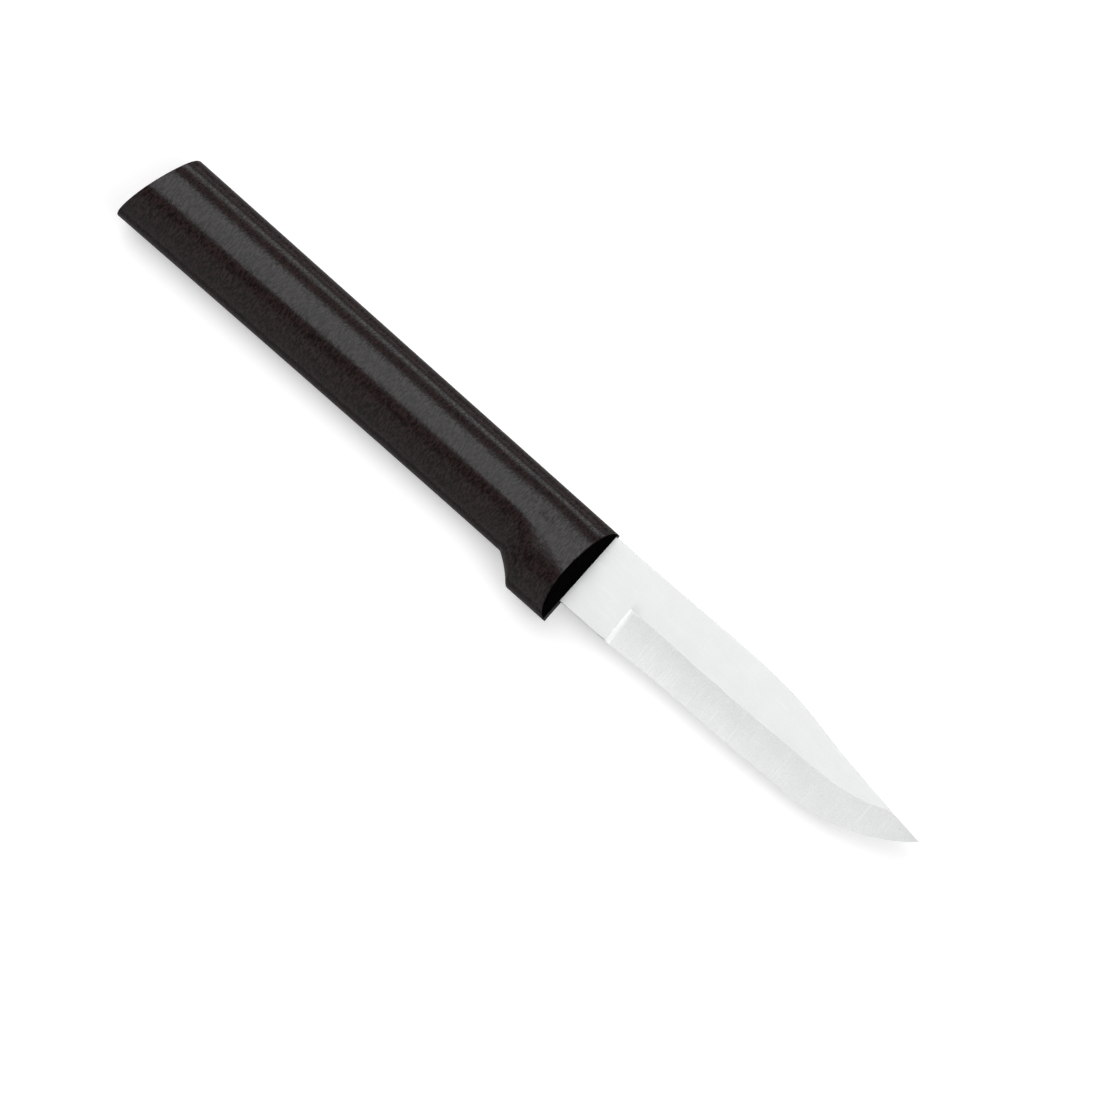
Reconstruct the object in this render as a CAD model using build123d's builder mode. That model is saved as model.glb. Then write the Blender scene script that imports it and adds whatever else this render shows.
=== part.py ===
from build123d import *
from math import cos, radians, tan
import os

os.makedirs("parts", exist_ok=True)

# A paring knife: a stamped steel blade with a hidden tang, and a resin handle moulded over that tang.
# It lies on its side. +X runs towards the tip, +Y towards the spine, +Z up from what it lies on.
# X and Y are zero at the middle of the knife's length and height, Z is zero under its side.

# Whole knife, in millimetres.
handle_length = 104.5
blade_length = 75.5
knife_height = 20.0
guard_thickness = 13.3
overrun = 3.0

# Blade: flat above, hollow-ground below, with a square ricasso in front of the handle.
blade_thickness = 1.3
edge_thickness = 0.1
ricasso_height = 14.7
ricasso_length = 10.3
plunge_run = 1.1
hollow_depth = 0.07
spine_inset = 0.55

# Outline of the blade, as shares of its length and of the ricasso's height above the heel.
spine_shares = ((0.25, 1.018), (0.47, 1.026), (0.60, 0.971), (0.70, 0.880), (0.82, 0.790))
tip_height_share = 0.682
# Edge and top of the bevel, point for point, as shares of the bevel's length and of the ricasso's height.
edge_shares = (
    (0.149, 0.033), (0.394, 0.045), (0.617, 0.071), (0.742, 0.115), (0.851, 0.264), (0.937, 0.469),
)
grind_start_share = 0.483
grind_shares = (
    (0.149, 0.483), (0.364, 0.483), (0.548, 0.502), (0.670, 0.518), (0.762, 0.556), (0.824, 0.621),
)
grind_end_shares = (0.877, 0.705)
# Levels of the bevel cutter, as shares of the way from the top of the bevel to the edge.
bevel_level_shares = (-0.2, 0, 0.5, 1, 1.1)

# Nick in the lower edge where the grinding starts.
nick_length = 1.7
nick_depth = 0.25

# Tang: the rolled stock, a little thicker than the finished blade, full height at the shoulder only.
stock_left_on = 0.05
shoulder_length = 6.0
shoulder_radius = 1.5
tang_length = 68.0
tang_height = 8.4
tang_tail_height = 7.0
tang_tail_radius = 2.5
tang_rise = 1.9
lock_hole_radius = 2.1
lock_hole_count = 3
lock_hole_spacing = 17.0
first_lock_hole = 20.0

# Handle: the top line falls a little to the front, the belly rises to the waist and drops at the guard.
butt_height = 16.5
waist_height = 15.7
waist_setback = 28.0
belly_bend = 1.5
top_fall = 0.37
butt_thickness = 12.8
waist_thickness = 12.4
flare_length = 17.0
guard_start = 16.0
guard_end = 8.5
guard_length = 17.5
grip_stations = 4
guard_stations = 14

# Cross-section of the handle: a rounded nose on top, full sides down to a ridge, a narrower keel below.
nose_drop = 2.0
nose_share = 0.58
side_drop_share = 0.5
side_share = 0.84
butt_ridge_depth = 9.0
waist_ridge_depth = 7.8
front_ridge_depth = 11.6
keel_rise = 2.0
keel_share = 0.52
# Slopes of the surface where the two halves of the mould part, and just above the ridge.
parting_slope = 0.05
ridge_slope = 0.02

# Finger rest in the belly behind the guard.
rest_setback = 14.0
rest_end_setback = 9.0
rest_lead = 5.0
rest_lead_drop = 0.1
rest_bow = 0.35

# Ends of the handle.
butt_slant = 16.2
butt_rim_radius = 0.8
front_slope = 15.0

# Places that follow from the sizes above.
overall_length = handle_length + blade_length
butt_x = -overall_length / 2
front_x = butt_x + handle_length
tip_x = front_x + blade_length
waist_x = front_x - waist_setback
plunge_x = front_x + ricasso_length
top_y = knife_height / 2
front_top_y = top_y - top_fall
guard_y = -top_y
heel_y = front_top_y - spine_inset - ricasso_height
mid_z = guard_thickness / 2
half_blade = blade_thickness / 2
half_edge = edge_thickness / 2
half_tang = half_blade + stock_left_on
# Where the handle reaches its full thickness: the edge of the front's slopes.
full_x = front_x - (mid_z - half_tang) * tan(radians(front_slope))


def between(low, high, share):
    """The value at a share of the way from low to high."""
    return low + (high - low) * share


def ease(share):
    """A smooth rise from 0 to 1, held at both ends."""
    held = min(max(share, 0), 1)
    return held * held * (3 - 2 * held)


def blade_point(along_share, up_share):
    """A point of the blade's outline."""
    return (between(front_x, tip_x, along_share), heel_y + up_share * ricasso_height)


def bevel_point(along_share, up_share):
    """A point of the edge or of the top of the bevel."""
    return (between(plunge_x, tip_x, along_share), heel_y + up_share * ricasso_height)


def top_line(x):
    """Height of the handle's top line at x."""
    return between(top_y, front_top_y, (x - butt_x) / handle_length)


def belly_line(x):
    """Height of the handle's belly at x, before the finger rest is cut."""
    butt_belly = top_y - butt_height
    waist_belly = top_line(waist_x) - waist_height
    left = max(waist_x - x, 0) / (waist_x - butt_x)
    grip = between(waist_belly, butt_belly, left**belly_bend)
    return between(grip, guard_y, ease((x - front_x + guard_start) / (guard_start - guard_end)))


def flare(x):
    """How far the section has opened out towards the front at x, from 0 to 1."""
    opened = (x - front_x + flare_length) / (full_x - front_x + flare_length)
    return min(max(opened, 0), 1) ** 2


def half_thickness(x):
    """Half of the handle's thickness at x."""
    grip = between(butt_thickness, waist_thickness, ease((x - butt_x) / (waist_x - butt_x)))
    return between(grip, guard_thickness, flare(x)) / 2


def ridge_line(x):
    """Height of the handle's thickest line at x."""
    grip = between(butt_ridge_depth, waist_ridge_depth, ease((x - butt_x) / (waist_x - butt_x)))
    return top_line(x) - between(grip, front_ridge_depth, flare(x))


spine_points = [blade_point(*shares) for shares in ((0, 1), *spine_shares, (1, tip_height_share))]
edge_points = [(plunge_x + plunge_run, heel_y)]
edge_points += [bevel_point(*shares) for shares in (*edge_shares, (1, tip_height_share))]
grind_points = [bevel_point(*shares) for shares in ((0, grind_start_share), *grind_shares, grind_end_shares)]

# What the grinding wheel takes off both faces, from clear above the flat to just past the edge.
with BuildPart() as ground_off:
    for share in bevel_level_shares:
        hollow = 4 * hollow_depth * share * (1 - share)
        level = between(half_blade, half_edge, share) - hollow
        curve = [
            (between(grind[0], edge[0], share), between(grind[1], edge[1], share))
            for grind, edge in zip(grind_points, edge_points)
        ]
        start, before, last = curve[0], curve[-2], curve[-1]
        past = (2 * last[0] - before[0], 2 * last[1] - before[1])
        clear_x, clear_y = 2 * tip_x - grind_points[-1][0], heel_y - overrun
        with BuildSketch(Plane.XY.offset(mid_z + level)):
            with BuildLine():
                Spline(*curve, past)
                Polyline(past, (clear_x, past[1]), (clear_x, clear_y), (start[0], clear_y), start)
            make_face()
    loft()
    mirror(about=Plane.XY.offset(mid_z))

with BuildPart() as blade:
    # Finished blade, from the handle's front to the tip.
    with BuildSketch(Plane.XY.offset(mid_z - half_blade)):
        with BuildLine():
            Spline(*spine_points)
            Spline(*reversed(edge_points))
            Polyline(edge_points[0], (front_x, heel_y), spine_points[0])
        make_face()
    extrude(amount=blade_thickness)
    add(ground_off.part, mode=Mode.SUBTRACT)

    # Nick where the grinding starts.
    with BuildSketch(Plane.XY.offset(mid_z - half_blade - overrun)):
        with BuildLine():
            Polyline(
                (plunge_x - nick_length, heel_y),
                (plunge_x, heel_y + nick_depth),
                (plunge_x, heel_y - overrun),
                (plunge_x - nick_length, heel_y - overrun),
                close=True,
            )
        make_face()
    extrude(amount=blade_thickness + 2 * overrun, mode=Mode.SUBTRACT)

    # Tang: the shoulder, then a tapering strap with holes that the resin runs through.
    with BuildSketch(Plane.XY.offset(mid_z - half_tang)) as tang_outline:
        with BuildLine():
            Polyline(
                (front_x, heel_y),
                (front_x, heel_y + ricasso_height),
                (front_x - shoulder_length, heel_y + ricasso_height),
                (front_x - shoulder_length, tang_rise + tang_height / 2),
                (front_x - tang_length, tang_rise + tang_tail_height / 2),
                (front_x - tang_length, tang_rise - tang_tail_height / 2),
                (front_x - shoulder_length, tang_rise - tang_height / 2),
                (front_x - shoulder_length, heel_y),
                close=True,
            )
        make_face()
        tail_corners = tang_outline.vertices().group_by(Axis.X)[0]
        neck_corners = tang_outline.vertices().group_by(Axis.X)[1].sort_by(Axis.Y)[1:3]
        fillet(tail_corners, tang_tail_radius)
        fillet(neck_corners, shoulder_radius)
        with Locations((front_x - first_lock_hole, tang_rise)):
            for hole in range(lock_hole_count):
                with Locations((-hole * lock_hole_spacing, 0)):
                    Circle(lock_hole_radius, mode=Mode.SUBTRACT)
    extrude(amount=2 * half_tang)

with BuildPart() as handle:
    # Grip from behind the butt, then guard: sections square to the length at even stations along each.
    guard_x = front_x - guard_length
    grip_stretch = (butt_x - overrun, guard_x, grip_stations)
    guard_stretch = (guard_x, full_x, guard_stations)
    for start_x, end_x, stations in (grip_stretch, guard_stretch, (full_x, front_x, 1)):
        for station in range(stations + 1):
            x = between(start_x, end_x, station / stations)
            top, ridge, belly, half = top_line(x), ridge_line(x), belly_line(x), half_thickness(x)
            upper = [
                (top, 0),
                (top - nose_drop, nose_share * half),
                (between(top, ridge, side_drop_share), side_share * half),
                (ridge, half),
            ]
            lower = [(ridge, half), (belly + keel_rise, keel_share * half), (belly, 0)]
            with BuildSketch(Plane(origin=(x, 0, mid_z), x_dir=(0, 1, 0), z_dir=(1, 0, 0))):
                with BuildLine():
                    Spline(*upper, tangents=((-parting_slope, 1), (-1, ridge_slope)))
                    Spline(*lower, tangents=((-1, 0), (-parting_slope, -1)))
                    mirror(about=Plane.XZ)
                make_face()
        loft(ruled=start_x >= guard_x)

    # Finger rest: the hollow of the belly behind the guard.
    rest_x, rest_end_x = front_x - rest_setback, front_x - rest_end_setback
    rest_y, rest_end_y = belly_line(waist_x), belly_line(rest_end_x)
    rest_middle = ((rest_x + rest_end_x) / 2, (rest_y + rest_end_y) / 2 + rest_bow)
    with BuildSketch(Plane.XY.offset(-overrun)):
        with BuildLine():
            Line((rest_x - rest_lead, rest_y - rest_lead_drop), (rest_x, rest_y))
            ThreePointArc((rest_x, rest_y), rest_middle, (rest_end_x, rest_end_y))
            Polyline(
                (rest_end_x, rest_end_y),
                (rest_end_x, guard_y - overrun),
                (rest_x - rest_lead, guard_y - overrun),
                (rest_x - rest_lead, rest_y - rest_lead_drop),
            )
        make_face()
    extrude(amount=guard_thickness + 2 * overrun, mode=Mode.SUBTRACT)

    # Front: flat where it grips the blade, sloped back on both sides of it.
    slope_run = guard_thickness * tan(radians(front_slope))
    with BuildSketch(Plane.XZ.offset(-knife_height)):
        for side_sign in (1, -1):
            with BuildLine():
                Polyline(
                    (front_x, mid_z + side_sign * half_tang),
                    (front_x - slope_run, mid_z + side_sign * (half_tang + guard_thickness)),
                    (front_x + overrun, mid_z + side_sign * (half_tang + guard_thickness)),
                    (front_x + overrun, mid_z + side_sign * half_tang),
                    close=True,
                )
            make_face()
    extrude(amount=2 * knife_height, mode=Mode.SUBTRACT)

    # Butt: a slanted cut with a rounded rim, whose furthest point is the knife's end.
    slant = radians(butt_slant)
    corner_x = butt_x - butt_rim_radius * (1 / cos(slant) + tan(slant) - 1)
    butt_cut = Plane(origin=(corner_x, belly_line(butt_x), 0), z_dir=(1, -tan(slant), 0))
    split(bisect_by=butt_cut, keep=Keep.TOP)
    fillet(handle.faces().sort_by(Axis.X)[0].edges(), butt_rim_radius)

    # The resin fills every space round the tang.
    add(blade.part, mode=Mode.SUBTRACT)

blade.part.label = "blade"
handle.part.label = "handle"
export_step(blade.part, "parts/blade.step")
export_step(handle.part, "parts/handle.step")
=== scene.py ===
"""A paring knife lying on its side: a hollow-ground steel blade in a black resin handle.

Lengths are in metres. +X runs to the tip, +Y to the spine, +Z up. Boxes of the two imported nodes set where
everything is, and the sizes written here set the shapes between.
"""

from __future__ import annotations

import logging
import math
from dataclasses import dataclass, replace
from enum import Enum

import bpy
import numpy as np
from mathutils import Matrix, Vector

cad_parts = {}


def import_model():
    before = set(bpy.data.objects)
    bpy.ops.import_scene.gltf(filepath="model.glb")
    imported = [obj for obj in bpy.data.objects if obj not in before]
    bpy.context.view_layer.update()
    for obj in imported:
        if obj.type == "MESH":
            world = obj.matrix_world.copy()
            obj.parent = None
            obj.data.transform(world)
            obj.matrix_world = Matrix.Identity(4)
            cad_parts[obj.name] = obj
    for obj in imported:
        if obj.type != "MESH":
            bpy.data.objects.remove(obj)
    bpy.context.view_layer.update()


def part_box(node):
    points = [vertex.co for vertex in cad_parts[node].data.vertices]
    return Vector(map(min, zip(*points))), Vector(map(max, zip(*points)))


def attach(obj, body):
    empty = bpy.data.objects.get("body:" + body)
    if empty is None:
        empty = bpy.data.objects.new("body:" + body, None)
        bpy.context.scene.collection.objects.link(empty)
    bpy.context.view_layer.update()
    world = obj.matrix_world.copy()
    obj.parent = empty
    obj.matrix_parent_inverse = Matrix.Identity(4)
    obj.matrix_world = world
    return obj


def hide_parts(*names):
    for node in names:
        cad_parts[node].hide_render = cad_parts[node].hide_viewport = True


LOG = logging.getLogger("paring_knife")
MM = 0.001
INSIDE = 0.005 * MM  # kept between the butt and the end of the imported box
MERGED = 0.002 * MM  # corners nearer to each other than this become one
SAME_WAY = 0.999  # cosine above which two normals count as one direction
STRIP_CORNERS = 4  # corners of the faces along a piece; its flat ends have more
QUARTER = math.radians(90)
EVEN = (1.0, 1.0, 1.0)  # stretch that leaves a place as it is
NOISE_MIDDLE = 0.5

Ring = list[tuple[float, float, float]]
Colour = tuple[float, float, float, float]
Span = tuple[float, float]


def between(low: float, high: float, share: float) -> float:
    """The value at a share of the way from low to high."""
    return low + (high - low) * share


def held(share: float) -> float:
    """A share, held between 0 and 1."""
    return min(max(share, 0.0), 1.0)


def ease(share: float) -> float:
    """A smooth rise from 0 to 1, held at both ends."""
    kept = held(share)
    return kept * kept * (3 - 2 * kept)


@dataclass
class SmoothCurve:
    """A flat curve through points, with no jump in its bend.

    The directions at its ends can be given; an end without one leaves as a parabola would.
    """

    points: tuple[Span, ...]
    start: Span | None = None
    end: Span | None = None
    fineness: int = 40

    def __post_init__(self) -> None:
        """Traces the curve once."""
        self.line = self._traced()

    def _slopes(self, points: np.ndarray, spans: np.ndarray) -> np.ndarray:
        """Direction of the curve at each of its points.

        Args:
            points: the points, one row each.
            spans: straight distance from each point to the next.

        Returns:
            One direction for each point, per unit of length.
        """
        last = len(points) - 1
        steps = np.diff(points, axis=0) / spans[:, None]
        system, sums = np.zeros((last + 1, last + 1)), np.zeros((last + 1, 2))
        ends = ((0, 1, steps[0], self.start), (last, last - 1, steps[-1], self.end))
        for end, beside, step, given in ends:
            system[end, end] = 1
            if given is None:
                system[end, beside] = 1
                sums[end] = 2 * step
            else:
                sums[end] = given
        for i in range(1, last):
            system[i, i - 1 : i + 2] = spans[i], 2 * (spans[i - 1] + spans[i]), spans[i - 1]
            sums[i] = 3 * (spans[i] * steps[i - 1] + spans[i - 1] * steps[i])
        return np.linalg.solve(system, sums)

    def _traced(self) -> np.ndarray:
        """Follows the curve from its start to its end.

        Returns:
            Closely spaced points, one row each.
        """
        points = np.array(self.points)
        spans = np.linalg.norm(np.diff(points, axis=0), axis=1)
        slopes = self._slopes(points, spans)
        s = np.linspace(0, 1, self.fineness, endpoint=False)[:, None]
        pieces = []
        for i, span in enumerate(spans):
            near, far = points[i], points[i + 1]
            lead, trail = slopes[i] * span, slopes[i + 1] * span
            blend = s * s * (3 - 2 * s)
            pieces.append(near + (far - near) * blend + lead * s * (1 - s) ** 2 - trail * s * s * (1 - s))
        return np.vstack([*pieces, points[-1:]])

    def spaced(self, count: int) -> np.ndarray:
        """Points at even distances along the curve.

        Args:
            count: number of stretches between the points.

        Returns:
            count + 1 points, both ends among them.
        """
        run = np.concatenate([[0], np.cumsum(np.linalg.norm(np.diff(self.line, axis=0), axis=1))])
        wanted = np.linspace(0, run[-1], count + 1)
        return np.column_stack([np.interp(wanted, run, self.line[:, k]) for k in (0, 1)])

    def height(self, x: float) -> float:
        """Height of the curve at x, for a curve that runs one way along X."""
        return float(np.interp(x, self.line[:, 0], self.line[:, 1]))


# Modelling by hand, in small steps that both pieces use.


def deselect() -> None:
    """Leaves nothing selected."""
    bpy.ops.object.select_all(action="DESELECT")


def pick(piece: bpy.types.Object) -> None:
    """Selects one piece alone and makes it the active one.

    Args:
        piece: the piece.
    """
    deselect()
    piece.select_set(True)
    bpy.context.view_layer.objects.active = piece


def drawn_through(name: str, rings: list[Ring]) -> bpy.types.Object:
    """A closed piece drawn out of one ring of points through all the others.

    Args:
        name: name of the new piece.
        rings: rings of equally many points, in order along +X, each running round the same way.

    Returns:
        The piece, closed by a face at each end, with its normals pointing out.
    """
    count, pitch = len(rings[0]), 10 * MM
    deselect()
    bpy.ops.mesh.primitive_circle_add(
        vertices=count, radius=pitch, fill_type="NGON", rotation=(0, QUARTER, 0)
    )
    piece = bpy.context.object
    piece.name = piece.data.name = name
    bpy.ops.object.transform_apply(location=False, rotation=True, scale=False)
    bpy.ops.object.mode_set(mode="EDIT")
    bpy.ops.mesh.select_all(action="SELECT")
    for _ in rings[1:]:
        bpy.ops.mesh.extrude_region_move(TRANSFORM_OT_translate={"value": (pitch, 0, 0)})
    bpy.ops.object.mode_set(mode="OBJECT")
    for vertex in piece.data.vertices:
        turn = math.atan2(vertex.co.z, vertex.co.y) / (2 * math.pi)
        ring = rings[round(vertex.co.x / pitch)]
        vertex.co = ring[round(turn * count) % count]
    bpy.ops.object.mode_set(mode="EDIT")
    bpy.ops.mesh.select_all(action="SELECT")
    bpy.ops.mesh.remove_doubles(threshold=MERGED)
    bpy.ops.mesh.normals_make_consistent(inside=False)
    bpy.ops.object.mode_set(mode="OBJECT")
    return piece


def cut_flat(piece: bpy.types.Object, point: Vector, outwards: Vector) -> None:
    """Cuts off what lies past a plane and closes the cut.

    Args:
        piece: the piece to cut.
        point: a point on the plane.
        outwards: the plane's normal, towards what comes off.
    """
    pick(piece)
    bpy.ops.object.mode_set(mode="EDIT")
    bpy.ops.mesh.select_all(action="SELECT")
    bpy.ops.mesh.bisect(plane_co=point, plane_no=outwards, use_fill=True, clear_outer=True)
    bpy.ops.object.mode_set(mode="OBJECT")


def faces_way(face: bpy.types.MeshPolygon, ways: list[Vector]) -> bool:
    """Whether a face looks along one of the ways."""
    return any(face.normal.dot(way) > SAME_WAY for way in ways)


def round_rim(piece: bpy.types.Object, outwards: list[Vector], width: float, steps: int) -> None:
    """Rounds the edges round flat ends.

    Args:
        piece: the piece whose edges are rounded.
        outwards: normals of the ends.
        width: how far the rounding reaches over each face.
        steps: number of faces across the rounding.
    """
    pick(piece)
    mesh = piece.data
    beside: dict[tuple[int, int], list[bool]] = {}
    for face in mesh.polygons:
        is_end = len(face.vertices) > STRIP_CORNERS and faces_way(face, outwards)
        for key in face.edge_keys:
            beside.setdefault(key, []).append(is_end)
    bpy.ops.object.mode_set(mode="EDIT")
    bpy.ops.mesh.select_mode(type="EDGE")
    bpy.ops.mesh.select_all(action="DESELECT")
    bpy.ops.object.mode_set(mode="OBJECT")
    for edge in mesh.edges:
        edge.select = sorted(beside[edge.key]) == [False, True]
    bpy.ops.object.mode_set(mode="EDIT")
    bpy.ops.mesh.bevel(offset=width, offset_type="OFFSET", segments=steps, profile=0.5, clamp_overlap=False)
    bpy.ops.object.mode_set(mode="OBJECT")


def shade(piece: bpy.types.Object, crease: float) -> None:
    """Shades a piece smooth, with edges sharper than the crease, in degrees, kept crisp."""
    pick(piece)
    bpy.ops.object.shade_smooth_by_angle(angle=math.radians(crease))


# Finishes.


class Way(Enum):
    """The way that fine lines run on a surface."""

    ALONG = "along the knife"
    ACROSS = "across the knife"


class Sheet:
    """A node tree that is filled in step by step."""

    def __init__(self, tree: bpy.types.NodeTree) -> None:
        """Starts on an empty tree."""
        self.tree = tree
        self.tree.nodes.clear()

    def add(self, kind: str, settings: dict[str, object] | None = None, **inputs: object) -> bpy.types.Node:
        """Adds one node.

        Args:
            kind: the node's type, without its ShaderNode prefix.
            settings: values of the node itself.
            inputs: value or socket for each input, by name with _ for a space, or by number after n.

        Returns:
            The node.
        """
        prefix = "" if kind.startswith("Node") else "ShaderNode"
        node = self.tree.nodes.new(prefix + kind)
        for name, value in (settings or {}).items():
            setattr(node, name, value)
        for name, value in inputs.items():
            number = name.strip("n")
            socket = node.inputs[int(number) if number.isdigit() else name.replace("_", " ")]
            if isinstance(value, bpy.types.NodeSocket):
                self.tree.links.new(value, socket)
            else:
                socket.default_value = value
        return node

    def maths(self, operation: str, first: object, second: object = 0.0) -> bpy.types.NodeSocket:
        """The result of one sum on two values or sockets."""
        return self.add("Math", {"operation": operation}, n0=first, n1=second).outputs[0]

    def spread(self, value: object, given: tuple[object, object], wanted: Span) -> bpy.types.NodeSocket:
        """A value's given range, spread over the wanted one."""
        ends = {"n1": given[0], "n2": given[1], "n3": wanted[0], "n4": wanted[1]}
        return self.add("MapRange", None, Value=value, **ends).outputs[0]

    def tint(self, share: object, dark: object, light: object) -> bpy.types.NodeSocket:
        """A colour at a share of the way from dark to light."""
        return self.add("Mix", {"data_type": "RGBA"}, n0=share, n6=dark, n7=light).outputs[2]

    def stretched(self, spot: object, stretch: tuple[float, float, float]) -> bpy.types.NodeSocket:
        """A place, stretched along the axes."""
        return self.add("Mapping", None, Vector=spot, Scale=stretch).outputs[0]

    def place(self, stretch: tuple[float, float, float] = EVEN) -> bpy.types.NodeSocket:
        """Object coordinates, stretched along the axes."""
        return self.stretched(self.add("TexCoord").outputs["Object"], stretch)

    def noise(self, spot: object, scale: object, detail: float, rough: float = 0.5) -> bpy.types.NodeSocket:
        """Noise from 0 to 1 at a place."""
        node = self.add("TexNoise", None, Vector=spot, Scale=scale, Detail=detail, Roughness=rough)
        return node.outputs["Fac"]


def group(name: str, inputs: dict[str, float], outputs: tuple[str, ...]) -> tuple[bpy.types.NodeTree, Sheet]:
    """Starts a node group that several finishes share.

    Args:
        name: the group's name.
        inputs: the number that each input starts from; a vector input has Place in its name.
        outputs: names of the number outputs.

    Returns:
        The group and the sheet that fills it in.
    """
    tree = bpy.data.node_groups.new(name, "ShaderNodeTree")
    for label, value in inputs.items():
        kind = "NodeSocketVector" if "Place" in label else "NodeSocketFloat"
        socket = tree.interface.new_socket(label, in_out="INPUT", socket_type=kind)
        if kind == "NodeSocketFloat":
            socket.default_value = value
    for label in outputs:
        tree.interface.new_socket(label, in_out="OUTPUT", socket_type="NodeSocketFloat")
    return tree, Sheet(tree)


def fine_lines() -> bpy.types.NodeTree:
    """Lines of uneven depth and length, as a grinding or a polishing belt leaves them.

    Returns:
        A group that turns a stretched place into the lines' height and shade.
    """
    tree, sheet = group("fine_lines", {"Place": 0.0, "Scale": 1.0, "Patchiness": 0.5}, ("Height", "Shade"))
    deep_scale, deep_range, deep_share = 0.31, (0.56, 0.74), 0.5
    patch_scale, patch_range = 0.04, (0.42, 0.62)
    given = sheet.add("NodeGroupInput").outputs
    place, scale, patchiness = given["Place"], given["Scale"], given["Patchiness"]
    fine = sheet.noise(place, scale, 3.0, 0.65)
    deep = sheet.noise(place, sheet.maths("MULTIPLY", scale, deep_scale), 1.0)
    deep_only = sheet.spread(deep, deep_range, (0.0, 1.0))
    patches = sheet.noise(place, sheet.maths("MULTIPLY", scale, patch_scale), 1.0)
    patchy = sheet.maths("MULTIPLY", sheet.spread(patches, patch_range, (0.0, 1.0)), patchiness)
    strength = sheet.maths("ADD", sheet.maths("SUBTRACT", 1.0, patchiness), patchy)
    deeper = sheet.maths("MULTIPLY", deep_only, deep_share)
    lines = sheet.maths("ADD", sheet.maths("SUBTRACT", fine, NOISE_MIDDLE), deeper)
    marks = sheet.maths("MULTIPLY", lines, strength)
    sheet.add("NodeGroupOutput", None, Height=marks, Shade=marks)
    return tree


def mould_grain() -> bpy.types.NodeTree:
    """Short streaks across the handle with small pebbles between them, as the mould leaves them.

    Returns:
        A group that gives the streaks' height and that of the whole grain, both round 0.
    """
    tree, sheet = group("mould_grain", {"Place": 0.0, "Scale": 1.0, "Pebbles": 0.5}, ("Streaks", "Height"))
    streak_stretch, pebble_stretch = (1.0, 0.2, 0.2), (1.0, 0.35, 0.35)
    given = sheet.add("NodeGroupInput").outputs
    drawn = sheet.stretched(given["Place"], streak_stretch)
    streaks = sheet.maths("SUBTRACT", sheet.noise(drawn, given["Scale"], 0.0), NOISE_MIDDLE)
    rounder = sheet.stretched(given["Place"], pebble_stretch)
    pebbles = sheet.maths("SUBTRACT", sheet.noise(rounder, given["Scale"], 1.0), NOISE_MIDDLE)
    height = sheet.maths("ADD", streaks, sheet.maths("MULTIPLY", pebbles, given["Pebbles"]))
    sheet.add("NodeGroupOutput", None, Streaks=streaks, Height=height)
    return tree


def specks() -> bpy.types.NodeTree:
    """Small marks, far apart.

    Returns:
        A group that gives 1 on a mark and 0 elsewhere.
    """
    tree, sheet = group("specks", {"Place": 0.0, "Scale": 1.0, "Size": 0.05}, ("Mark",))
    bare_share = 0.7
    given = sheet.add("NodeGroupInput").outputs
    cells = sheet.add("TexVoronoi", None, Vector=given["Place"], Scale=given["Scale"]).outputs
    near = sheet.spread(cells["Distance"], (0.0, given["Size"]), (1.0, 0.0))
    lot = sheet.add("SeparateColor", None, Color=cells["Color"]).outputs[0]
    chosen = sheet.maths("GREATER_THAN", lot, bare_share)
    sheet.add("NodeGroupOutput", None, Mark=sheet.maths("MULTIPLY", near, chosen))
    return tree


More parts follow.
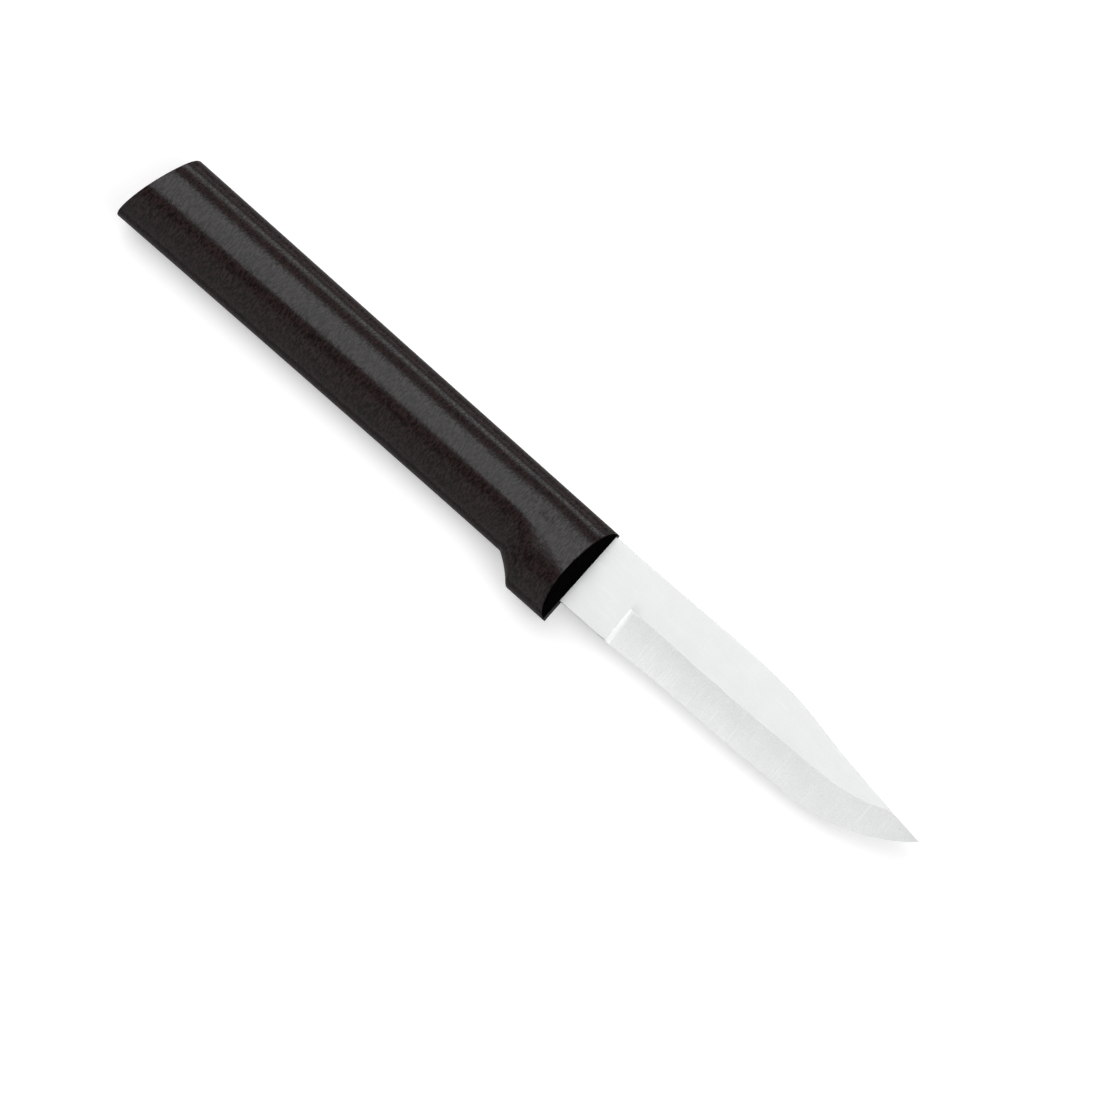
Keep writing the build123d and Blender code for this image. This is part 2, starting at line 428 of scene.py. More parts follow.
@dataclass(frozen=True)
class GroundSteel:
    """Stainless steel as a belt or wheel leaves it.

    Its shade runs from line_share under the colour to lift_share of that over it. line_range holds the
    lines' lowest and highest level, and line_shades and rough_spread what those do to shade and roughness.
    Clouds and grit shift the shade by their shares either way.
    """

    name: str
    way: Way
    colour: Colour = (0.553, 0.564, 0.559, 1.0)
    roughness: float = 0.38
    rough_spread: Span = (0.04, -0.05)
    line_share: float = 0.10
    lift_share: float = 1 / 3
    lines_per_metre: float = 9000.0
    drawn_out: float = 0.06
    patchiness: float = 0.5
    line_range: Span = (-0.3, 0.5)
    line_shades: Span = (0.3, 0.9)
    line_depth: float = 0.02 * MM
    bump: float = 0.12
    noise_range: Span = (0.3, 0.7)
    clouds_per_metre: float = 260.0
    cloud_share: float = 0.2
    grit_per_metre: float = 4500.0
    grit_share: float = 0.35
    specks_per_metre: float = 420.0
    speck_size: float = 0.09
    speck_share: float = 0.0

    def toned(self, factor: float) -> list[float]:
        """The steel's colour, lighter or darker by a factor."""
        return [min(1.0, part * factor) for part in self.colour[:3]] + [1.0]

    def material(self, lines: bpy.types.NodeTree, marks: bpy.types.NodeTree) -> bpy.types.Material:
        """Builds the material.

        Args:
            lines: group for fine lines.
            marks: group for specks.

        Returns:
            The material.
        """
        made = bpy.data.materials.new(self.name)
        made.use_nodes = True
        sheet = Sheet(made.node_tree)
        drawn = self.drawn_out
        stretch = (drawn, 1.0, 1.0) if self.way is Way.ALONG else (1.0, drawn, drawn)
        grain = sheet.add(
            "Group", {"node_tree": lines},
            Place=sheet.place(stretch), Scale=self.lines_per_metre, Patchiness=self.patchiness,
        ).outputs
        mark = sheet.add(
            "Group", {"node_tree": marks},
            Place=sheet.place(), Scale=self.specks_per_metre, Size=self.speck_size,
        ).outputs["Mark"]
        worn = sheet.maths("MULTIPLY", mark, self.speck_share)
        clouds = sheet.noise(sheet.place(), self.clouds_per_metre, 2.0)
        grit = sheet.noise(sheet.place(), self.grit_per_metre, 1.0)
        shades = sheet.spread(grain["Shade"], self.line_range, self.line_shades)
        for noise, share in ((clouds, self.cloud_share), (grit, self.grit_share)):
            shades = sheet.maths("ADD", shades, sheet.spread(noise, self.noise_range, (-share, share)))
        dark, light = self.toned(1 - self.line_share), self.toned(1 + self.line_share * self.lift_share)
        body = sheet.tint(sheet.maths("SUBTRACT", shades, worn), dark, light)
        rough_range = tuple(self.roughness + change for change in self.rough_spread)
        rough = sheet.spread(grain["Shade"], self.line_range, rough_range)
        height = sheet.maths("SUBTRACT", grain["Height"], worn)
        relief = sheet.add("Bump", None, Strength=self.bump, Distance=self.line_depth, Height=height)
        steel = sheet.add(
            "BsdfPrincipled", None, Base_Color=body, Roughness=rough, Normal=relief.outputs[0], Metallic=1.0
        )
        sheet.add("OutputMaterial", None, Surface=steel.outputs[0])
        return made


@dataclass(frozen=True)
class MouldedResin:
    """Near-black resin with a fine grain across the handle, less glossy towards its rim.

    grain_range holds the grain's lowest and highest level: low grain is dark, low streaks are rough.
    Over rim_range, from facing the eye to turning away, the gloss falls to rim_gloss.
    """

    name: str = "moulded_resin"
    dark: Colour = (0.0064, 0.0034, 0.0034, 1.0)
    light: Colour = (0.0274, 0.0170, 0.0168, 1.0)
    roughness: float = 0.205
    streak_roughness: float = 0.07
    specular: float = 0.225
    sheen_tint: Colour = (0.91, 1.0, 1.0, 1.0)
    rim_range: Span = (0.28, 0.44)
    rim_gloss: float = 0.2
    grain_per_metre: float = 4800.0
    grain_range: Span = (-0.15, 0.15)
    grain_depth: float = 0.08 * MM
    pebbles: float = 1.1
    bump: float = 0.25

    def material(self, grain: bpy.types.NodeTree) -> bpy.types.Material:
        """Builds the material.

        Args:
            grain: group for the mould's grain.

        Returns:
            The material.
        """
        made = bpy.data.materials.new(self.name)
        made.use_nodes = True
        sheet = Sheet(made.node_tree)
        marks = sheet.add(
            "Group", {"node_tree": grain},
            Place=sheet.place(), Scale=self.grain_per_metre, Pebbles=self.pebbles,
        ).outputs
        height = marks["Height"]
        body = sheet.tint(sheet.spread(height, self.grain_range, (0.0, 1.0)), self.dark, self.light)
        rough_range = (self.roughness + self.streak_roughness, self.roughness - self.streak_roughness)
        rough = sheet.spread(marks["Streaks"], self.grain_range, rough_range)
        relief = sheet.add("Bump", None, Strength=self.bump, Distance=self.grain_depth, Height=height)
        surface = {"Base_Color": body, "Roughness": rough, "Normal": relief.outputs[0]}
        dull = sheet.add("BsdfPrincipled", None, **surface, Specular_IOR_Level=0.0)
        resin = sheet.add(
            "BsdfPrincipled", None, **surface,
            Specular_IOR_Level=self.specular, Specular_Tint=self.sheen_tint,
        )
        facing = sheet.add("LayerWeight", None, Blend=0.5).outputs["Facing"]
        gloss = sheet.spread(facing, self.rim_range, (1.0, self.rim_gloss))
        both = sheet.add("MixShader", None, n0=gloss, n1=dull.outputs[0], n2=resin.outputs[0])
        sheet.add("OutputMaterial", None, Surface=both.outputs[0])
        return made


# The two pieces.


class Zone(Enum):
    """Zones of the blade, by the number of their finish."""

    FLAT = 0
    BEVEL = 1
    PLUNGE = 2


@dataclass
class Blade:
    """Blade with its tang: flat above, hollow-ground below, with a square ricasso."""

    front_x: float
    tip_x: float
    heel_y: float
    mid_z: float
    half_tang: float
    tail_x: float
    thickness: float = 1.3 * MM
    edge_thickness: float = 0.1 * MM
    ricasso_height: float = 14.7 * MM
    ricasso_length: float = 10.3 * MM
    plunge_run: float = 1.1 * MM
    plunge_bow: float = 0.2  # power of the line where plunge and bevel meet
    plunge_ease: float = 0.35  # how much steeper than straight the plunge starts
    plunge_open: float = 3.5 * MM  # from the plunge to where columns stand square again
    hollow_depth: float = 0.07 * MM
    hollow_fade: float = 0.8  # part of the hollow that is gone at the tip
    nick_length: float = 1.7 * MM
    nick_depth: float = 0.25 * MM
    heel_rounding: float = 0.1 * MM
    heel_end: float = 0.25  # share of the plunge where that rounding has run out
    spine_rounding: float = 0.12 * MM
    clip_rounding: float = 0.07 * MM
    clip_share: float = 0.45  # share of the way to the tip where it is reached
    round_share: float = 0.8  # most of the half thickness that the spine's rounding takes
    tip_share: float = 0.3  # most of the blade's height that it takes
    shoulder_length: float = 6.0 * MM
    strap_height: float = 8.4 * MM
    tail_height: float = 7.0 * MM
    tang_y: float = 1.9 * MM
    tail_radius: float = 2.5 * MM
    spine_shares: tuple[Span, ...] = (
        (0.0, 1.0), (0.25, 1.018), (0.47, 1.026), (0.60, 0.971), (0.70, 0.880), (0.82, 0.790), (1.0, 0.682),
    )
    edge_shares: tuple[Span, ...] = (
        (0.149, 0.033), (0.394, 0.045), (0.617, 0.071), (0.742, 0.115),
        (0.851, 0.264), (0.937, 0.469), (1.0, 0.682),
    )
    grind_shares: tuple[Span, ...] = (
        (0.0, 0.483), (0.149, 0.483), (0.364, 0.483), (0.548, 0.502), (0.670, 0.518), (0.762, 0.556),
        (0.824, 0.621), (0.877, 0.705), (1.036, 0.957),
    )
    step: float = 0.01 * MM  # between two rings at a sudden change
    near: float = 0.003 * MM  # within this, a point lies on a crease
    round_rows: int = 5
    flat_rows: int = 4
    bevel_rows: int = 16
    tail_rings: int = 6
    ricasso_columns: int = 8
    nick_columns: int = 4
    plunge_columns: int = 5
    columns: int = 90
    tip_gather: float = 1.15  # above 1, columns gather towards the tip
    crease: float = 35.0
    side_slope: float = 0.7  # least Z part of the normal of a side's face

    def __post_init__(self) -> None:
        """Works out the curves of the outline and the half thicknesses."""
        self.plunge_x = self.front_x + self.ricasso_length
        self.nick_x = self.plunge_x - self.nick_length
        self.half = self.thickness / 2
        self.half_edge = self.edge_thickness / 2
        self.spine = SmoothCurve(tuple(self._at(self.front_x, *share) for share in self.spine_shares))
        corner = (self.plunge_x + self.plunge_run, self.heel_y)
        self.edge = SmoothCurve((corner, *(self._at(self.plunge_x, *share) for share in self.edge_shares)))
        self.grind = SmoothCurve(tuple(self._at(self.plunge_x, *share) for share in self.grind_shares))

    def _at(self, start_x: float, along: float, up: float) -> Span:
        """The point at shares of the way to the tip and of the ricasso's height."""
        return between(start_x, self.tip_x, along), self.heel_y + up * self.ricasso_height

    def lower_line(self, x: float) -> float:
        """Height of the blade's lower edge at x."""
        return self.edge.height(x) if x > self.plunge_x + self.plunge_run else self.heel_y

    def foot_line(self, x: float) -> float:
        """Height of the line where the spine's rounding meets the face.

        Args:
            x: place along the blade.

        Returns:
            The height, nearer to the spine along the clip and at the tip.
        """
        top, low = self.spine.height(x), self.lower_line(x)
        opened = ease((x - self.front_x) / (self.clip_share * (self.tip_x - self.front_x)))
        rounding = between(self.spine_rounding, self.clip_rounding, opened)
        return top - min(rounding, self.tip_share * (top - low))

    def heel_size(self, x: float, plunge: float) -> float:
        """Size of the broken lower edge, which widens to a nick in front of the plunge.

        Args:
            x: place along the blade.
            plunge: share of the way over the plunge.

        Returns:
            The size, which is 0 on the bevel.
        """
        nick = (x - self.nick_x) / self.nick_length
        if 0 < nick < 1:
            return between(self.heel_rounding, self.nick_depth, nick)
        return self.heel_rounding * (1 - held(plunge / self.heel_end))

    def ground_share(self, x: float, y: float) -> float:
        """How far a point lies on the way from the top of the bevel to the edge, from 0 to 1."""
        top, low = self.grind.height(x), self.edge.height(x)
        return held((top - y) / (top - low))

    def taken_off(self, share: float, along: float = 0.0) -> float:
        """What the wheel takes off one face, at shares of the way down the bevel and along it."""
        hollow = self.hollow_depth * (1 - self.hollow_fade * ease(along))
        return (self.half - self.half_edge) * share + 4 * hollow * share * (1 - share)

    def plunge_end(self, share: float) -> float:
        """Where the plunge meets the bevel at a share of the way down it."""
        depth = min(self.taken_off(share) / (self.half - self.half_edge), 1.0)
        return self.plunge_x + self.plunge_run * depth**self.plunge_bow

    def _ring(self, upper: Ring) -> Ring:
        """A whole ring round the blade.

        Args:
            upper: the points of one face, given as x, y and height off the middle.

        Returns:
            The points of both faces, with one at the top and one at the bottom between them.
        """
        top, low = upper[0], upper[-1]
        over = [(x, y, self.mid_z + z) for x, y, z in upper]
        under = [(x, y, self.mid_z - z) for x, y, z in reversed(upper)]
        return [(top[0], top[1], self.mid_z), *over, (low[0], low[1], self.mid_z), *under]

    def _tang_ring(self, x: float, low: float, top: float) -> Ring:
        """A ring round the tang at x, from low to top."""
        last = self.round_rows + self.flat_rows + self.bevel_rows + 1
        return self._ring([(x, between(top, low, row / last), self.half_tang) for row in range(last + 1)])

    def _blade_ring(self, place: float, plunge: float, spread: float) -> Ring:
        """A ring round the blade.

        Args:
            place: place along the blade.
            plunge: share of the way over the plunge, 0 on the ricasso and 1 on the bevel.
            spread: share by which the rows have left the plunge's slanted end for the square line at place.

        Returns:
            The ring's points.
        """
        flat_x = between(self.plunge_x, place, spread)
        top, foot = self.spine.height(flat_x), self.foot_line(flat_x)
        low, grind, heel = self.lower_line(place), self.grind.height(place), self.heel_size(place, plunge)
        bend, bottom = min(grind, foot), low + heel
        levels = [between(foot, bend, row / self.flat_rows) for row in range(self.flat_rows)]
        levels += [between(bend, bottom, row / self.bevel_rows) for row in range(self.bevel_rows + 1)]
        along = (place - self.plunge_x) / (self.tip_x - self.plunge_x)
        sunk = plunge * (1 + self.plunge_ease * (1 - plunge))
        face = []
        for y in levels:
            share = held((grind - y) / (grind - low))
            x = between(between(self.plunge_x, self.plunge_end(share), plunge), place, spread)
            face.append((x, y, self.half - self.taken_off(share, along) * sunk))
        last = face[-1]
        face.append((last[0], low, last[2] - heel))
        start_x, _, side = face[0]
        reach = min(top - foot, self.round_share * side)
        arc = []
        for row in range(self.round_rows):
            turn = QUARTER * row / self.round_rows
            arc.append((start_x, between(foot, top, math.cos(turn)), side - reach * (1 - math.sin(turn))))
        return self._ring(arc + face)

    def _tang_rings(self) -> list[Ring]:
        """The tang's rings.

        Returns:
            The rings from the rounded tail over the strap and the shoulder to the handle's front.
        """
        made = []
        shoulder_x, top_y = self.front_x - self.shoulder_length, self.heel_y + self.ricasso_height
        for ring in range(self.tail_rings + 1):
            turn = QUARTER * ring / self.tail_rings
            x = self.tail_x + self.tail_radius * (1 - math.cos(turn))
            half = self.tail_height / 2 - self.tail_radius * (1 - math.sin(turn))
            made.append(self._tang_ring(x, self.tang_y - half, self.tang_y + half))
        half = self.strap_height / 2
        made.append(self._tang_ring(shoulder_x - self.step, self.tang_y - half, self.tang_y + half))
        for x in (shoulder_x, self.front_x):
            made.append(self._tang_ring(x, self.heel_y, top_y))
        return made

    def rings(self) -> list[Ring]:
        """All rings of the piece.

        Returns:
            The rings from the tang's tail to the tip.
        """
        made = self._tang_rings()
        for column in range(self.ricasso_columns):
            share = column / self.ricasso_columns
            made.append(self._blade_ring(between(self.front_x + self.step, self.nick_x, share), 0.0, 1.0))
        for column in range(self.nick_columns + 1):
            share = column / self.nick_columns
            made.append(self._blade_ring(between(self.nick_x, self.plunge_x - self.step, share), 0.0, 1.0))
        for column in range(self.plunge_columns + 1):
            share = column / self.plunge_columns
            made.append(self._blade_ring(self.plunge_x + self.plunge_run * share, share, 0.0))
        open_x = self.plunge_x + self.plunge_open
        for column in range(1, self.plunge_columns + 1):
            share = column / self.plunge_columns
            place = between(self.plunge_x + self.plunge_run, open_x, share)
            made.append(self._blade_ring(place, 1.0, share))
        for column in range(1, self.columns + 1):
            share = 1 - (1 - column / self.columns) ** self.tip_gather
            made.append(self._blade_ring(between(open_x, self.tip_x, share), 1.0, 1.0))
        return made

    def on_crease(self, x: float, y: float) -> bool:
        """Whether a point of a face lies on an edge of the flat: the spine's, the bevel's or the plunge's.

        Args:
            x: place along the blade.
            y: height of the point.

        Returns:
            True on one of these edges.
        """
        if abs(y - self.foot_line(x)) < self.near:
            return True
        if x < self.plunge_x - self.near or y > self.spine.height(x) - self.near:
            return False
        on_grind = abs(y - self.grind.height(x)) < self.near
        return on_grind or (abs(x - self.plunge_x) < self.near and y < self.grind.height(x))

    def zone_at(self, x: float, y: float) -> Zone:
        """The zone that a point of a face lies in.

        Args:
            x: place along the blade.
            y: height of the point.

        Returns:
            The zone.
        """
        if y > self.grind.height(x) or x < self.plunge_x:
            return Zone.FLAT
        return Zone.BEVEL if x > self.plunge_end(self.ground_share(x, y)) else Zone.PLUNGE

    def model(self, finishes: dict[Zone, bpy.types.Material]) -> bpy.types.Object:
        """Makes the blade and its tang.

        Args:
            finishes: finish of each zone; the flat's also covers all narrow sides and the tang.

        Returns:
            The piece.
        """
        piece = drawn_through("ground_blade", self.rings())
        mesh = piece.data
        for zone in Zone:
            mesh.materials.append(finishes[zone])
        marked = [self.on_crease(vertex.co.x, vertex.co.y) for vertex in mesh.vertices]
        for edge in mesh.edges:
            first, second = edge.vertices
            edge.use_edge_sharp = marked[first] and marked[second]
        for face in mesh.polygons:
            if abs(face.normal.z) > self.side_slope:
                face.material_index = self.zone_at(face.center.x, face.center.y).value
        shade(piece, self.crease)
        even = piece.modifiers.new("even", "WEIGHTED_NORMAL")
        even.keep_sharp = True
        bpy.ops.object.modifier_apply(modifier=even.name)
        return piece


class Skin(Enum):
    """Surfaces of the handle, by the number of their finish."""

    GRIP = 0
    FRONT = 1


@dataclass
class Handle:
    """Resin handle moulded over the tang, with a finger guard and a slanted butt.

    Points of the crown are given as the drop from the top and the shares of the half thickness, on the grip
    and at the front. Points of the keel are given as the rise from the belly and the share.
    """

    butt_x: float
    front_x: float
    top_y: float
    guard_y: float
    mid_z: float
    half_tang: float
    guard_half: float
    butt_height: float = 16.5 * MM
    waist_height: float = 15.7 * MM
    waist_setback: float = 28.0 * MM
    belly_bend: float = 1.5
    top_fall: float = 0.37 * MM
    butt_thickness: float = 12.8 * MM
    waist_thickness: float = 12.4 * MM
    flare_length: float = 17.0 * MM
    guard_start: float = 16.0 * MM
    guard_end: float = 8.5 * MM
    guard_length: float = 20.0 * MM
    crown: tuple[tuple[float, float, float], ...] = (
        (0.7 * MM, 0.475, 0.42), (2.8 * MM, 0.775, 0.70), (5.5 * MM, 0.943, 0.865),
    )
    crown_start: float = 20.5 * MM
    crown_run: float = 12.0 * MM
    keel: tuple[Span, ...] = ((4.5 * MM, 0.885), (1.0 * MM, 0.48))
    butt_ridge_depth: float = 8.8 * MM
    waist_ridge_depth: float = 8.1 * MM
    front_ridge_depth: float = 11.3 * MM
    rest_setback: float = 14.0 * MM
    rest_end_setback: float = 9.0 * MM
    rest_lead: float = 5.0 * MM
    rest_lead_drop: float = 0.1 * MM
    rest_bow: float = 0.35 * MM
    butt_slant: float = 16.2
    butt_rounding: float = 0.2 * MM
    butt_steps: int = 6
    front_slope: float = 15.0
    front_rounding: float = 0.1 * MM
    front_steps: int = 2
    overrun: float = 3.0 * MM  # of the first section past the butt
    butt_band: float = 6.2 * MM  # stretch at the butt that has no section
    upper_points: int = 40
    lower_points: int = 28
    grip_stations: int = 28
    guard_stations: int = 48
    crease: float = 30.0

    def __post_init__(self) -> None:
        """Works out the places that follow from the sizes."""
        self.waist_x = self.front_x - self.waist_setback
        self.front_run = (self.guard_half - self.half_tang) * math.tan(math.radians(self.front_slope))
        self.full_x = self.front_x - self.front_run
        start, end = self.front_x - self.rest_setback, self.front_x - self.rest_end_setback
        low, high = self.plain_belly(self.waist_x), self.plain_belly(end)
        middle = ((start + end) / 2, (low + high) / 2 + self.rest_bow)
        self.rest = SmoothCurve(((start, low), middle, (end, high)))

    def top_line(self, x: float) -> float:
        """Height of the top line at x."""
        return self.top_y - self.top_fall * (x - self.butt_x) / (self.front_x - self.butt_x)

    def plain_belly(self, x: float) -> float:
        """Height of the belly without the finger rest.

        Args:
            x: place along the handle.

        Returns:
            The height.
        """
        butt_belly = self.top_y - self.butt_height
        waist_belly = self.top_line(self.waist_x) - self.waist_height
        left = max(self.waist_x - x, 0.0) / (self.waist_x - self.butt_x)
        grip = between(waist_belly, butt_belly, left**self.belly_bend)
        guard = ease((x - self.front_x + self.guard_start) / (self.guard_start - self.guard_end))
        return between(grip, self.guard_y, guard)

    def belly(self, x: float) -> float:
        """Height of the belly with the finger rest behind the guard.

        Args:
            x: place along the handle.

        Returns:
            The height.
        """
        start, end = self.rest.points[0], self.rest.points[-1]
        plain = self.plain_belly(x)
        if start[0] <= x <= end[0]:
            return max(plain, self.rest.height(x))
        if start[0] - self.rest_lead <= x < start[0]:
            return max(plain, start[1] - self.rest_lead_drop * (start[0] - x) / self.rest_lead)
        return plain

    def flare(self, x: float) -> float:
        """How far the section has opened out towards the front at x, from 0 to 1."""
        opened = (x - self.front_x + self.flare_length) / (self.flare_length - self.front_run)
        return held(opened) ** 2

    def ring(self, x: float) -> Ring:
        """The handle's section.

        Args:
            x: place along the handle.

        Returns:
            Points from the top over the upper side to the belly, and back over the lower side.
        """
        along = ease((x - self.butt_x) / (self.waist_x - self.butt_x))
        flare, top, belly = self.flare(x), self.top_line(x), self.belly(x)
        half = between(between(self.butt_thickness, self.waist_thickness, along) / 2, self.guard_half, flare)
        grip_ridge = between(self.butt_ridge_depth, self.waist_ridge_depth, along)
        ridge = top - between(grip_ridge, self.front_ridge_depth, flare)
        opened = ease((x - self.front_x + self.crown_start) / self.crown_run)
        crown = [(top - drop, half * between(grip, front, opened)) for drop, grip, front in self.crown]
        upper = SmoothCurve(((top, 0.0), *crown, (ridge, half)), start=(0.0, 1.0), end=(-1.0, 0.0))
        keel = [(belly + rise, half * share) for rise, share in self.keel]
        lower = SmoothCurve(((ridge, half), *keel, (belly, 0.0)), start=(-1.0, 0.0), end=(0.0, -1.0))
        over = [*upper.spaced(self.upper_points), *lower.spaced(self.lower_points)[1:]]
        under = over[-2:0:-1]
        return [(x, y, self.mid_z + z) for y, z in over] + [(x, y, self.mid_z - z) for y, z in under]

    def stations(self) -> list[float]:
        """Places of the sections.

        Returns:
            Places along the handle, with none inside the slanted butt or the sloped front.
        """
        first, guard_x = self.butt_x + self.butt_band, self.front_x - self.guard_length
        grip = [between(first, guard_x, i / self.grip_stations) for i in range(self.grip_stations)]
        count = self.guard_stations
        guard = [between(guard_x, self.full_x, i / count) for i in range(count + 1)]
        return [self.butt_x - self.overrun, *grip, *guard, self.front_x]

    def _fronts(self) -> list[Vector]:
        """Normals of the two front faces, the upper one first."""
        slope = math.radians(self.front_slope)
        return [Vector((math.cos(slope), 0.0, side * math.sin(slope))) for side in (1, -1)]

    def _cut_ends(self, piece: bpy.types.Object) -> None:
        """Cuts the slanted butt and the two front faces, and rounds the edges round them.

        The butt is cut a little past butt_x, and the rounding of its lower corner brings it back there.

        Args:
            piece: the handle so far.
        """
        slant = math.radians(self.butt_slant)
        radius = self.butt_rounding * math.tan(math.pi / 4 - slant / 2)
        corner_x = self.butt_x - radius * (1 / math.cos(slant) + math.tan(slant) - 1)
        butt_way = Vector((-math.cos(slant), math.sin(slant), 0.0))
        cut_flat(piece, Vector((corner_x, self.plain_belly(self.butt_x), self.mid_z)), butt_way)
        for side, way in zip((1, -1), self._fronts()):
            cut_flat(piece, Vector((self.front_x, 0.0, self.mid_z + side * self.half_tang)), way)
        round_rim(piece, [butt_way], self.butt_rounding, self.butt_steps)
        round_rim(piece, self._fronts(), self.front_rounding, self.front_steps)

    def model(self, finishes: dict[Skin, bpy.types.Material], blade: bpy.types.Object) -> bpy.types.Object:
        """Makes the handle.

        Args:
            finishes: finish of each surface.
            blade: the blade, whose tang the resin runs round.

        Returns:
            The piece.
        """
        piece = drawn_through("moulded_handle", [self.ring(x) for x in self.stations()])
        self._cut_ends(piece)
        hollow = piece.modifiers.new("tang", "BOOLEAN")
        hollow.operation, hollow.object, hollow.solver = "DIFFERENCE", blade, "EXACT"
        bpy.ops.object.modifier_apply(modifier=hollow.name)
        piece.data.materials.clear()
        for skin in Skin:
            piece.data.materials.append(finishes[skin])
        for face in piece.data.polygons:
            face.material_index = (Skin.FRONT if faces_way(face, self._fronts()) else Skin.GRIP).value
        shade(piece, self.crease)
        return piece


# The studio.


@dataclass(frozen=True)
class Panel:
    """A soft lamp that faces the knife.

    Its direction leans off +Z by two angles in degrees, across towards +X and over towards +Y. Its length
    runs along X, and its glow is its radiance, where 1 is white.
    """

    name: str
    across: float
    over: float
    length: float
    width: float
    glow: float

    def hang(self, middle: Vector, distance: float) -> None:
        """Hangs the panel.

        Args:
            middle: the point that it faces.
            distance: how far it is from there.
        """
        across, over = math.radians(self.across), math.radians(self.over)
        rest = math.cos(across)
        way = Vector((math.sin(across), rest * math.sin(over), rest * math.cos(over)))
        deselect()
        bpy.ops.object.light_add(type="AREA", location=middle + way * distance)
        lamp = bpy.context.object
        lamp.name = self.name
        lamp.data.shape = "RECTANGLE"
        lamp.data.size, lamp.data.size_y = self.length, self.width
        lamp.data.energy = self.glow * math.pi * self.length * self.width
        rise = way.cross(Vector((1.0, 0.0, 0.0))).normalized()
        side = rise.cross(way).normalized()
        turn = Matrix((side, rise, way)).transposed().to_4x4()
        lamp.matrix_world = Matrix.Translation(middle + way * distance) @ turn
        lamp.visible_camera = False


@dataclass
class Studio:
    """Pale floor, soft panels and the camera.

    floor_lift is a glow that the camera and reflections see and that lights nothing else.
    """

    mid_z: float
    middle_x: float = 7.05 * MM
    middle_y: float = -0.18 * MM
    yaw: float = 13.5
    roll: float = 41.6
    frame_width: float = 189.36 * MM
    lens: float = 1000.0
    clip_factor: float = 10.0
    floor_size: float = 6.0
    floor_gap: float = 0.02 * MM
    floor_colour: Colour = (0.66, 0.66, 0.66, 1.0)
    floor_lift: float = 0.45
    room_colour: Colour = (1.0, 1.0, 1.0, 1.0)
    fill: float = 0.06
    distance: float = 1.2
    panels: tuple[Panel, ...] = (
        Panel("key_panel", across=0.0, over=14.0, length=2.86, width=0.62, glow=3.1),
        Panel("upper_panel", across=-13.5, over=35.0, length=0.64, width=0.28, glow=3.3),
        Panel("side_panel", across=-13.5, over=-62.0, length=1.6, width=1.1, glow=0.56),
        Panel("edge_strip", across=-13.5, over=71.5, length=1.0, width=0.25, glow=3.1),
        Panel("front_panel", across=42.0, over=6.0, length=0.7, width=0.42, glow=2.4),
    )

    def __post_init__(self) -> None:
        """Works out the point that the camera and the panels face."""
        self.middle = Vector((self.middle_x, self.middle_y, self.mid_z))

    def camera(self) -> None:
        """Places the camera at the photograph's angle."""
        deselect()
        bpy.ops.object.camera_add()
        camera = bpy.context.object
        camera.name = "camera"
        camera.data.lens = self.lens
        yaw, roll = math.radians(self.yaw), math.radians(self.roll)
        back = Vector((math.sin(yaw), 0.0, math.cos(yaw)))
        along, up = Vector((math.cos(yaw), 0.0, -math.sin(yaw))), Vector((0.0, 1.0, 0.0))
        right = math.cos(roll) * along + math.sin(roll) * up
        top = -math.sin(roll) * along + math.cos(roll) * up
        away = self.frame_width * self.lens / camera.data.sensor_width
        turn = Matrix((right, top, back)).transposed().to_4x4()
        camera.matrix_world = Matrix.Translation(self.middle + back * away) @ turn
        camera.data.clip_end = self.clip_factor * away
        bpy.context.scene.camera = camera

    def floor(self) -> None:
        """Lays the floor, which reads white and keeps the knife's shadow."""
        deselect()
        bpy.ops.mesh.primitive_plane_add(size=self.floor_size, location=(0.0, 0.0, -self.floor_gap))
        floor = bpy.context.object
        floor.name = "floor"
        made = bpy.data.materials.new("floor")
        made.use_nodes = True
        sheet = Sheet(made.node_tree)
        rays = sheet.add("LightPath").outputs
        seen = sheet.maths("MAXIMUM", rays["Is Camera Ray"], rays["Is Glossy Ray"])
        seen = sheet.maths("MAXIMUM", seen, rays["Is Transmission Ray"])
        lift = sheet.add("Emission", None, Strength=sheet.maths("MULTIPLY", seen, self.floor_lift))
        paper = sheet.add("BsdfDiffuse", None, Color=self.floor_colour)
        both = sheet.add("AddShader", None, n0=paper.outputs[0], n1=lift.outputs[0])
        sheet.add("OutputMaterial", None, Surface=both.outputs[0])
        floor.data.materials.append(made)

    def world(self) -> None:
        """Gives the room a dim even light."""
        world = bpy.data.worlds.new("room")
        world.use_nodes = True
        sheet = Sheet(world.node_tree)
        room = sheet.add("Background", None, Color=self.room_colour, Strength=self.fill)
        sheet.add("OutputWorld", None, Surface=room.outputs[0])
        bpy.context.scene.world = world

    def build(self) -> None:
        """Sets up the whole studio."""
        self.world()
        self.floor()
        for panel in self.panels:
            panel.hang(self.middle, self.distance)
        self.camera()
        bpy.context.scene.view_settings.view_transform = "Standard"


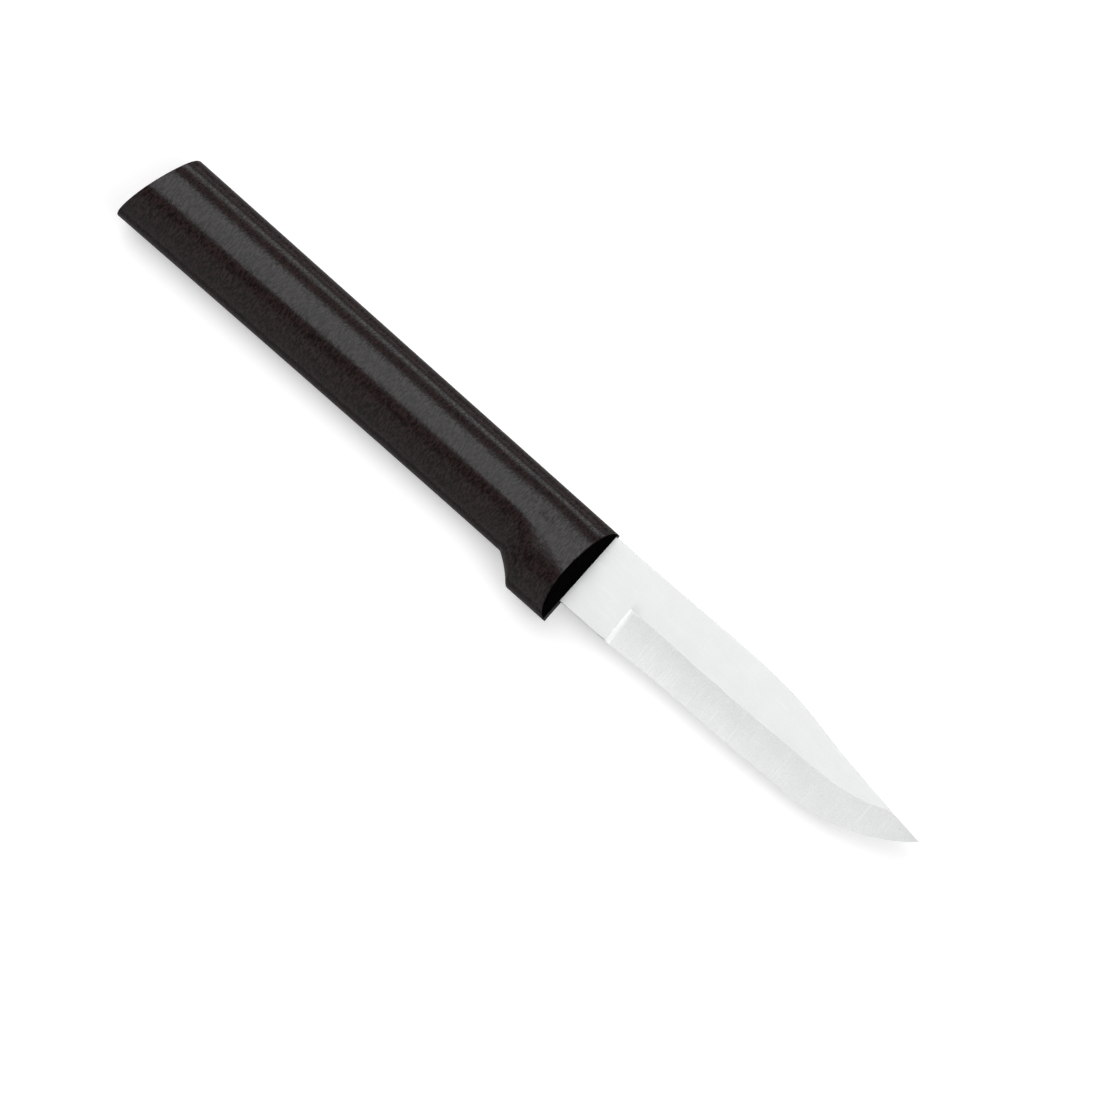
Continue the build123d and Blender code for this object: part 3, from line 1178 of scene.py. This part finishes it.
def blade_finishes() -> dict[Zone, bpy.types.Material]:
    """Makes the steel's finishes; the bevel and the plunge carry painted highlight in a lighter colour than
    the flat's.

    Returns:
        The material of each zone of the blade.
    """
    flat = GroundSteel("flat_steel", Way.ALONG, line_share=0.05, bump=0.05, speck_share=0.6)
    # The bevel's and the plunge's steel get a far lighter colour than the flat's, though it is the same
    # steel: painted highlight, a lit copy that makes the ground zones read brighter.
    bevel = GroundSteel(
        "bevel_steel_painted_brighter", Way.ACROSS, colour=(0.815, 0.830, 0.824, 1.0), roughness=0.62, cloud_share=0.1
    )
    plunge = replace(bevel, name="plunge_steel_painted_brighter", roughness=0.56)
    lines, marks = fine_lines(), specks()
    finishes = {Zone.FLAT: flat, Zone.BEVEL: bevel, Zone.PLUNGE: plunge}
    return {zone: finish.material(lines, marks) for zone, finish in finishes.items()}


def handle_finishes() -> dict[Skin, bpy.types.Material]:
    """Makes the resin's finishes; the front faces carry painted shade in a darker, matt copy of the grip's
    resin.

    Returns:
        The material of each surface of the handle.
    """
    # The front faces are the same resin as the grip, painted darker and without gloss: painted shade that
    # keeps them black.
    matt = MouldedResin(
        "front_resin_painted_shade",
        dark=(0.0016, 0.0014, 0.0014, 1.0),
        light=(0.0030, 0.0026, 0.0026, 1.0),
        roughness=0.8,
        specular=0.0,
    )
    grain = mould_grain()
    return {Skin.GRIP: MouldedResin().material(grain), Skin.FRONT: matt.material(grain)}


def main() -> None:
    """Builds the knife round the frame, and the studio round the knife."""
    logging.basicConfig(level=logging.INFO, format="%(name)s: %(message)s")
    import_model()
    (butt_x, guard_y, low_z), (front_x, top_y, high_z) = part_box("handle")
    (tail_x, heel_y, tang_low), (tip_x, _, tang_high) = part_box("blade")
    mid_z, half_tang = (low_z + high_z) / 2, (tang_high - tang_low) / 2

    blade = Blade(front_x, tip_x, heel_y, mid_z, half_tang, tail_x)
    blade_piece = blade.model(blade_finishes())
    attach(blade_piece, "root")
    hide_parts("blade")
    LOG.info("%s: %d faces", blade_piece.name, len(blade_piece.data.polygons))

    handle = Handle(butt_x + INSIDE, front_x, top_y, guard_y, mid_z, half_tang, (high_z - low_z) / 2)
    handle_piece = handle.model(handle_finishes(), blade_piece)
    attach(handle_piece, "root")
    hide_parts("handle")
    LOG.info("%s: %d faces", handle_piece.name, len(handle_piece.data.polygons))

    Studio(mid_z).build()


if __name__ == "__main__":
    main()
